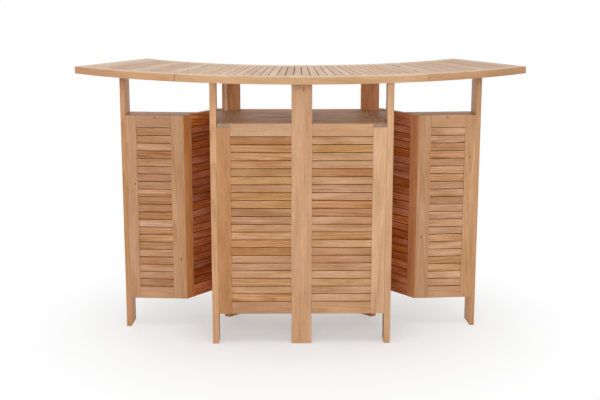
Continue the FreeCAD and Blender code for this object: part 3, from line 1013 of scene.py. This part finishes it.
class GARDENBAR_OT_top_slats(bpy.types.Operator):
    """Fan the slats of the top's three sections"""

    bl_idname = "garden_bar.top_slats"
    bl_label = "Top slats"

    def execute(self, context):
        tree = top_slat_tree()
        gap = sizes().top_slat_gap
        width = sizes().top_slat_width
        for seed, node in enumerate(TOP_SLATS, TOP_SEED):
            inner, outer, start, end = fan_span(node)
            heights = node_points(node)[:, 2]
            count = round((end - start) * (inner + outer) / 2 / (width + gap))
            low = heights.min()
            high = heights.max()
            piece = grown("wood_" + node, tree, {
                "Count": count, "Start Angle": float(start), "Pitch Angle": float((end - start) / count),
                "Inner Radius": float(inner), "Outer Radius": float(outer), "Gap": gap, "Width": width,
                "Thickness": float(high - low), "Middle Height": float((low + high) / 2),
                "Centre Y": ARC_CENTRE_Y, "Edge": sizes().top_slat_edge,
                **shade_values(node, seed, finish_called(wood_for(node)))})
            finish_piece(piece, node)
        return {"FINISHED"}


class GARDENBAR_OT_hinges(bpy.types.Operator):
    """Finish the hinges in brass and drive the screws of the wing hinges"""

    bl_idname = "garden_bar.hinges"
    bl_label = "Hinges"

    def execute(self, context):
        brass = finish_called("satin_brass")
        for node in HINGES:
            mesh = frame["nodes"][node].data
            mesh.materials.clear()
            mesh.materials.append(brass)
        tree = seated_tree("Hinge Screws", screw_head)
        wing_hinges = [node for node in HINGES if node.startswith("wing")]
        for seed, node in enumerate(wing_hinges, SCREW_SEED):
            seats = []
            for middle, normal in flat_faces(node, BACKWARD, LEAST_PLATE):
                along = normal.cross(UPWARD)
                for rise, side in SCREW_PLACES:
                    seats.append((middle + UPWARD * rise + along * side, normal))
            piece = grown("screws_" + node, tree, {
                "Radius": sizes().screw_radius, "Rise": sizes().head_rise,
                **shade_values(node, seed, brass)}, points=seat_points(node + "_seats", seats))
            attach(piece, NODE_BODY[node])
        return {"FINISHED"}


class GARDENBAR_OT_plugs(bpy.types.Operator):
    """Plug the screw that holds each wing's ledge through the top rail of its outer panel"""

    bl_idname = "garden_bar.plugs"
    bl_label = "Plugs"

    def execute(self, context):
        tree = seated_tree("Wood Plugs", wood_plug)
        for seed, side in enumerate(SIDES, PLUG_SEED):
            rail = "wing_outer_rails_" + side
            low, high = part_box("wing_ledge_" + side)
            face, normal = max(flat_faces(rail, FORWARD, LEAST_RAIL), key=lambda face: face[0].z)
            along, middle = (Vector((*plan, 0.0)) for plan in panel_plan("wing_outer_stiles_" + side)[:2])
            seat = face + along * along.dot(middle - face)
            seat.z = (low[2] + high[2]) / 2
            piece = grown("plug_ledge_" + side, tree, {
                "Radius": sizes().plug_radius, "Rise": sizes().head_rise,
                **shade_values(rail, seed, finish_called("oiled_plug"))},
                points=seat_points("plug_seat_" + side, [(seat, normal)]))
            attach(piece, NODE_BODY[rail])
        return {"FINISHED"}


# Stage

# Camera solved on the photograph, in metres, radians (down, right, round), pixels and sensor millimetres
CAMERA_PLACE = (-0.0668, -4.88161, 1.6475)
CAMERA_TILT = 0.2257
CAMERA_TURN = 0.013
CAMERA_ROLL = 0.0013
FOCAL_PIXELS = 1225.13
IMAGE_WIDTH = 600
SENSOR_WIDTH = 36.0
VIEW_REACH = 100.0
# Lamps: place, target, width and height in metres, and power in watts
LAMPS = {
    "front": ((0.0, -5.4, 2.9), (0.0, 0.0, 0.55), (4.5, 2.6), 92.0),
    "above": ((0.0, -0.6, 4.2), (0.0, 0.0, 0.5), (3.6, 2.6), 62.0),
}
# Strength of the world as a light, and the floor's colour and half width in metres
SOFT_LIGHT = 0.6
WHITE = (1.0, 1.0, 1.0, 1.0)
FLOOR_GREY = (0.86, 0.86, 0.86, 1.0)
FLOOR_HALF = 9.0
# Where the floor starts and ends to fade away from the object, in metres, and its share of white at each
FLOOR_STEP = (0.35, 1.27, 0.42, 1.0)


def add_camera():
    data = bpy.data.cameras.new("camera")
    data.sensor_fit = "HORIZONTAL"
    data.sensor_width = SENSOR_WIDTH
    data.lens = FOCAL_PIXELS / IMAGE_WIDTH * SENSOR_WIDTH
    data.clip_end = VIEW_REACH
    camera = bpy.data.objects.new("camera", data)
    turn = Matrix.Rotation(-CAMERA_TURN, 4, "Z")
    tilt = Matrix.Rotation(math.pi / 2 - CAMERA_TILT, 4, "X")
    roll = Matrix.Rotation(CAMERA_ROLL, 4, "Z")
    camera.matrix_world = Matrix.Translation(CAMERA_PLACE) @ turn @ tilt @ roll
    bpy.context.scene.collection.objects.link(camera)
    bpy.context.scene.camera = camera


def add_lamp(name, place, target, size, power):
    data = bpy.data.lights.new(name, "AREA")
    data.shape = "RECTANGLE"
    data.size, data.size_y = size
    data.energy = power
    lamp = bpy.data.objects.new(name, data)
    turn = (Vector(target) - Vector(place)).to_track_quat("-Z", "Y").to_matrix().to_4x4()
    lamp.matrix_world = Matrix.Translation(place) @ turn
    bpy.context.scene.collection.objects.link(lamp)


def add_world():
    """White where the camera, gloss or glass looks at it, softer as a light."""
    world = bpy.data.worlds.new("studio")
    bpy.context.scene.world = world
    world.use_nodes = True
    tree = world.node_tree
    tree.nodes.clear()
    path = add_node(tree, "ShaderNodeLightPath").outputs
    seen = maths(tree, "MAXIMUM", path["Is Camera Ray"], path["Is Transmission Ray"])
    seen = maths(tree, "MAXIMUM", seen, path["Is Glossy Ray"])
    white = add_node(tree, "ShaderNodeBackground", {"Color": WHITE, "Strength": 1.0})
    soft = add_node(tree, "ShaderNodeBackground", {"Color": WHITE, "Strength": SOFT_LIGHT})
    mixed = add_node(tree, "ShaderNodeMixShader", {0: seen, 1: soft.outputs[0], 2: white.outputs[0]})
    output = add_node(tree, "ShaderNodeOutputWorld")
    tree.links.new(mixed.outputs[0], output.inputs["Surface"])


def floor_material():
    """A pale floor that fades to the white backdrop away from the object."""
    material, tree = shader_tree("pale_floor")
    place = add_node(tree, "ShaderNodeTexCoord").outputs["Object"]
    fade = soft_step(tree, length_of(tree, place), *FLOOR_STEP)
    path = add_node(tree, "ShaderNodeLightPath").outputs
    matte = add_node(tree, "ShaderNodeBsdfDiffuse", {"Color": FLOOR_GREY})
    white = add_node(tree, "ShaderNodeEmission", {"Color": WHITE, "Strength": 1.0})
    share = times(tree, fade, path["Is Camera Ray"])
    mixed = add_node(tree, "ShaderNodeMixShader", {0: share, 1: matte.outputs[0], 2: white.outputs[0]})
    close_shader(tree, mixed)
    return material


class GARDENBAR_OT_stage(bpy.types.Operator):
    """Set the floor, the lights and the camera"""

    bl_idname = "garden_bar.stage"
    bl_label = "Stage"

    def execute(self, context):
        mesh = bpy.data.meshes.new("floor")
        corners = ((-1, -1), (1, -1), (1, 1), (-1, 1))
        mesh.from_pydata([(x * FLOOR_HALF, y * FLOOR_HALF, 0.0) for x, y in corners], [], [(0, 1, 2, 3)])
        mesh.materials.append(floor_material())
        floor = new_piece("floor", mesh)
        for name, settings in LAMPS.items():
            add_lamp(name, *settings)
        add_world()
        add_camera()
        context.scene.view_settings.view_transform = "Standard"
        return {"FINISHED"}


class GARDENBAR_PT_panel(bpy.types.Panel):
    """Lists the garden bar's sizes, colours and steps"""

    bl_idname = "GARDENBAR_PT_panel"
    bl_label = "Garden Bar"
    bl_space_type = "VIEW_3D"
    bl_region_type = "UI"
    bl_category = "Garden Bar"

    def draw(self, context):
        for group in (context.scene.garden_bar_sizes, context.scene.garden_bar_colours):
            for name in group.bl_rna.properties.keys():
                if name not in ("rna_type", "name"):
                    self.layout.prop(group, name)
        for step in STEPS:
            self.layout.operator(step.bl_idname)


STEPS = (GARDENBAR_OT_finishes, GARDENBAR_OT_frame_boards, GARDENBAR_OT_panel_slats,
         GARDENBAR_OT_top_slats, GARDENBAR_OT_hinges, GARDENBAR_OT_plugs, GARDENBAR_OT_stage)
CLASSES = (GardenBarSizes, GardenBarColours) + STEPS + (GARDENBAR_PT_panel,)


def register():
    for each in CLASSES:
        bpy.utils.register_class(each)
    bpy.types.Scene.garden_bar_sizes = bpy.props.PointerProperty(type=GardenBarSizes)
    bpy.types.Scene.garden_bar_colours = bpy.props.PointerProperty(type=GardenBarColours)


def unregister():
    del bpy.types.Scene.garden_bar_colours
    del bpy.types.Scene.garden_bar_sizes
    for each in reversed(CLASSES):
        bpy.utils.unregister_class(each)


def main():
    register()
    bpy.ops.garden_bar.finishes()
    bpy.ops.garden_bar.frame_boards()
    bpy.ops.garden_bar.panel_slats()
    bpy.ops.garden_bar.top_slats()
    bpy.ops.garden_bar.hinges()
    bpy.ops.garden_bar.plugs()
    bpy.ops.garden_bar.stage()


if __name__ == "__main__":
    main()
